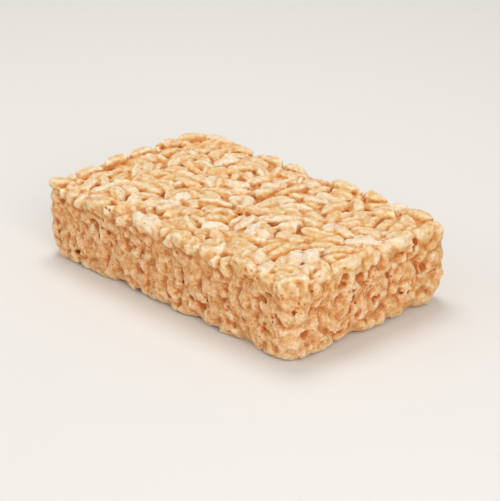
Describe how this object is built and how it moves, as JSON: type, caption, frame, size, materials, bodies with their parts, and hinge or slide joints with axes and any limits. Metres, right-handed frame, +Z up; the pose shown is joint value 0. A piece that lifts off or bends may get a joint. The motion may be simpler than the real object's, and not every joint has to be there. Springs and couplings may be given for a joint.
{
  "type": "puffed rice marshmallow bar",
  "caption": "Square-cut snack bar of puffed rice grains held together with marshmallow, flat pressed top, torn porous sides.",
  "frame": {"origin": "middle of the flat base, on the surface that the bar lies on", "axes": "+X along the bar's long side, +Y across it, +Z up"},
  "size_m": [0.0904, 0.055, 0.0222],
  "materials": {
    "puffed_rice": "satin toasted cream, porous"
  },
  "bodies": {
    "root": {"rice_bar": "puffed_rice"}
  },
  "joints": []
}
